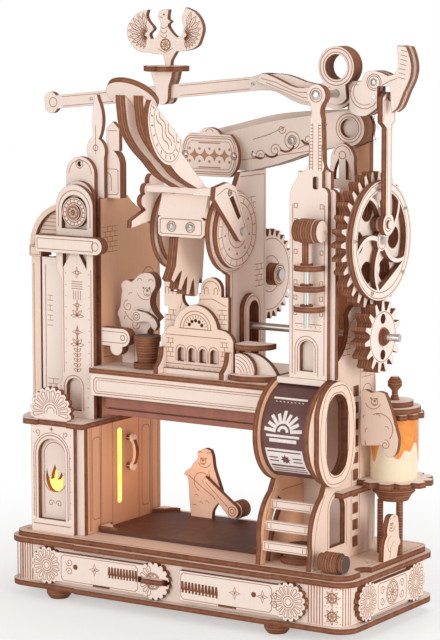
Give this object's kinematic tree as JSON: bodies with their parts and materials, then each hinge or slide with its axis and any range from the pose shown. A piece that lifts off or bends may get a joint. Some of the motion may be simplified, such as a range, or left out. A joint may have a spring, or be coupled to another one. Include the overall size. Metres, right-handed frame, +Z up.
{
  "type": "mechanical wooden printing press puzzle",
  "caption": "Laser-cut plywood model of a hand-turned printing press: boxed base, two towers, meshed gears with a flywheel, a rocking top lever and a leaning ink head.",
  "frame": {"origin": "middle of the base, on the surface the feet stand on", "axes": "+Z up, +X to the right seen from the front, +Y to the back"},
  "size_m": [0.2346, 0.1603, 0.3261],
  "materials": {
    "plywood": "pale laser-cut basswood plywood, charred brown edges",
    "dark_board": "dark brown stained board, satin",
    "bed_sheet": "dark glossy bed sheet",
    "printed_sheet": "dark printed card with pale line work",
    "steel": "plain ground steel rod",
    "lamp": "warm lit diffuser, glowing amber",
    "jar_glass": "frosted clear jar"
  },
  "bodies": {
    "frame": {"arch_post": "plywood", "bear_arm": "plywood", "bottom_plate": "plywood", "cavity_floor": "bed_sheet", "cavity_trim": "plywood", "deck": "plywood", "disc_stacks": "dark_board", "facade": "plywood", "feet": "plywood", "great_beam": "plywood", "ink_bucket": "dark_board", "lamps": "lamp", "lantern_jar": "jar_glass", "lantern_plates": "plywood", "lantern_stand": "dark_board", "left_belfry": "plywood", "left_cavity_wall": "plywood", "left_cornice": "plywood", "left_pedestal": "plywood", "left_tower_front": "plywood", "left_tower_walls": "plywood", "middle_wall": "plywood", "name_plate": "plywood", "overlays": "plywood", "poster_sheet": "printed_sheet", "right_cross_walls": "plywood", "right_inner_wall": "plywood", "right_outer_wall": "plywood", "right_tower_front": "plywood", "right_tower_walls": "plywood", "skirt": "plywood", "small_bears": "plywood", "stage": "plywood", "stage_bear": "plywood", "stage_trim": "plywood", "steel_pins": "steel", "tower_brackets": "plywood", "tower_trim": "plywood"},
    "platen": {"platen": "dark_board", "platen_guides": "steel"},
    "switch": {"switch_tab": "plywood"},
    "drive": {"drive_shaft": "steel", "press_cam": "plywood", "pinion": "plywood"},
    "wheel": {"main_shaft": "steel", "big_gear": "plywood", "flywheel": "plywood"},
    "side_gear": {"side_gear": "plywood"},
    "ink_head": {"drum_discs": "plywood", "drum_cover": "plywood", "claw_sector": "plywood", "drum_links": "plywood", "ink_arms": "plywood", "ink_head": "plywood"},
    "lever": {"lever_bar": "plywood", "elephant": "plywood", "eagle": "plywood", "swivel_pin": "steel"},
    "swivel": {"swivel": "plywood"},
    "pitman": {"pitman": "plywood"}
  },
  "joints": [
    {"name": "platen_slide", "type": "slide", "parent": "frame", "child": "platen", "axis": [0, 0, 1], "range_m": [-0.008, 0]},
    {"name": "switch_slide", "type": "slide", "parent": "frame", "child": "switch", "axis": [1, 0, 0], "range_m": [-0.003, 0.003]},
    {"name": "wheel_turn", "type": "hinge", "parent": "frame", "child": "wheel", "pos_m": [0.091, 0, 0.2063], "axis": [1, 0, 0], "continuous": true},
    {"name": "drive_turn", "type": "hinge", "parent": "frame", "child": "drive", "pos_m": [0.093, 0, 0.15568], "axis": [1, 0, 0], "continuous": true},
    {"name": "side_gear_turn", "type": "hinge", "parent": "frame", "child": "side_gear", "pos_m": [0.0155, 0.02903, 0.18047], "axis": [1, 0, 0], "continuous": true},
    {"name": "ink_head_rock", "type": "hinge", "parent": "frame", "child": "ink_head", "pos_m": [0, -0.021, 0.209], "axis": [1, 0, 0], "range_deg": [-8, 5]},
    {"name": "lever_rock", "type": "hinge", "parent": "frame", "child": "lever", "pos_m": [0.077, -0.003, 0.2825], "axis": [0, 1, 0], "range_deg": [0, 20]},
    {"name": "swivel_turn", "type": "hinge", "parent": "lever", "child": "swivel", "pos_m": [0.0993, -0.003, 0.2815], "axis": [0, 1, 0], "range_deg": [-22, 0]},
    {"name": "pitman_swing", "type": "hinge", "parent": "swivel", "child": "pitman", "pos_m": [0.1047, -0.003, 0.2815], "axis": [1, 0, 0], "range_deg": [-8, 8]}
  ],
  "couplings": [
    {"joint": "drive_turn", "follows": "wheel_turn", "ratio": -2},
    {"joint": "side_gear_turn", "follows": "wheel_turn", "ratio": 1.2857},
    {"joint": "swivel_turn", "follows": "lever_rock", "ratio": -1.073}
  ]
}
